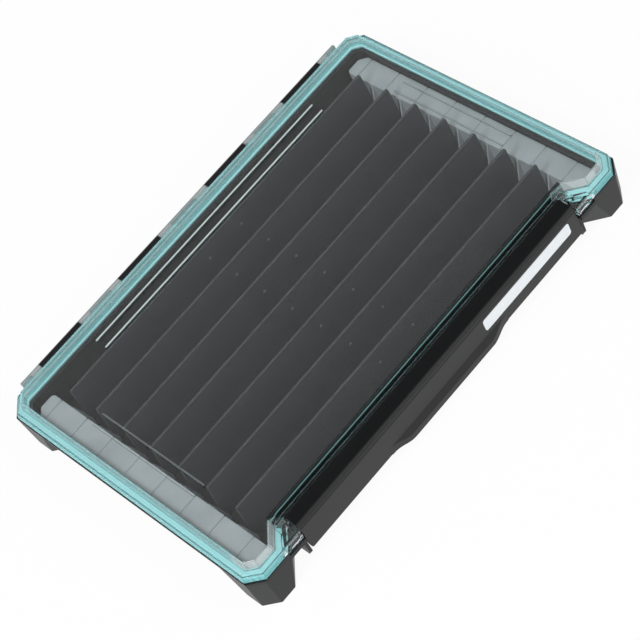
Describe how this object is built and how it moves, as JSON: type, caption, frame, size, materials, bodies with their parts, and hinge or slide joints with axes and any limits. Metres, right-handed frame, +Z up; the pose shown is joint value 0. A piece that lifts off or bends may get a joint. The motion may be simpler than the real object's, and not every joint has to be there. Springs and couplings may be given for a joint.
{
  "type": "tackle tray",
  "caption": "Shallow rectangular tackle tray with a clear hinged lid, rubber seal, full-width front latch, corner feet and long upright dividers held in end racks.",
  "frame": {"origin": "centre of the footprint, on the table under the feet", "axes": "+X to the right seen from the latch side, -Y towards the latch, +Z up; the lid hinge runs along X at the back"},
  "size_m": [0.3586, 0.2466, 0.0446],
  "materials": {
    "black_plastic": "satin",
    "black_divider": "satin",
    "frosted_plastic": "frosted",
    "clear_plastic": "clear",
    "aqua_rubber": "matte",
    "latch_plastic": "satin",
    "steel": "plain",
    "white_label": "matte"
  },
  "bodies": {
    "base": {"base_tub": "black_plastic", "left_end_rack": "frosted_plastic", "right_end_rack": "frosted_plastic", "divider_1": "black_divider", "divider_2": "black_divider", "divider_3": "black_divider", "divider_4": "black_divider", "divider_5": "black_divider", "divider_6": "black_divider", "divider_7": "black_divider", "left_hinge_pin": "steel", "right_hinge_pin": "steel"},
    "lid": {"lid_shell": "clear_plastic", "lid_seal": "aqua_rubber"},
    "latch": {"latch_bar": "latch_plastic", "latch_pins": "steel", "latch_label": "white_label"}
  },
  "joints": [
    {"name": "lid_hinge", "type": "hinge", "parent": "base", "child": "lid", "pos_m": [0, 0.1189, 0.0319], "axis": [-1, 0, 0], "range_deg": [0, 110]},
    {"name": "latch_pivot", "type": "hinge", "parent": "lid", "child": "latch", "pos_m": [0, -0.1078, 0.0356], "axis": [-1, 0, 0], "range_deg": [0, 90]}
  ]
}
